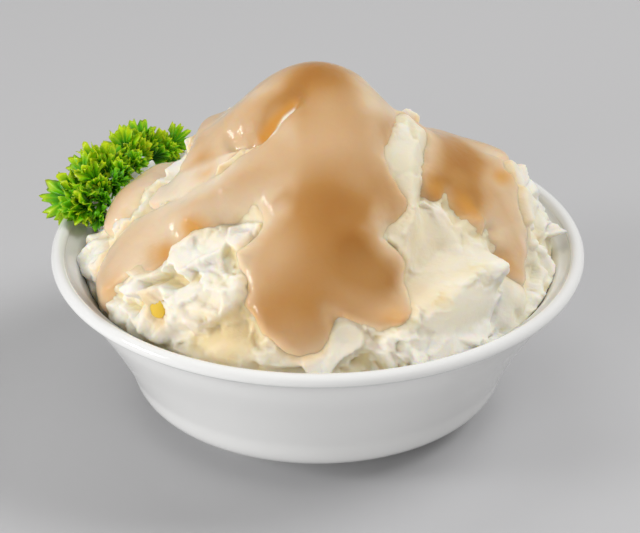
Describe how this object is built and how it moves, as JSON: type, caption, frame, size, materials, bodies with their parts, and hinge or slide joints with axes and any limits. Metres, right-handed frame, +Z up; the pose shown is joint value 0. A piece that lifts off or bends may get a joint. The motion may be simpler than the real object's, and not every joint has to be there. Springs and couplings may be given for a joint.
{
  "type": "mashed potato side",
  "caption": "Heaped mashed potato in a flared white bowl, with gravy poured over the top, a bit of butter and a sprig of curly parsley.",
  "frame": {"origin": "centre of the bowl's foot, on the surface it stands on", "axes": "+Z up; +X to the right, away from the parsley; the front of the dish faces -Y"},
  "size_m": [0.1673, 0.16, 0.1106],
  "materials": {
    "glazed_white": "smooth white glaze",
    "potato": "moist, soft, light-scattering mash",
    "gravy": "glossy light brown gravy, lighter where thin",
    "butter": "soft, partly melted",
    "parsley_green": "fresh leaf with lighter edges"
  },
  "bodies": {
    "root": {"bowl": "glazed_white", "mash": "potato", "gravy": "gravy", "butter": "butter", "parsley": "parsley_green"}
  },
  "joints": []
}
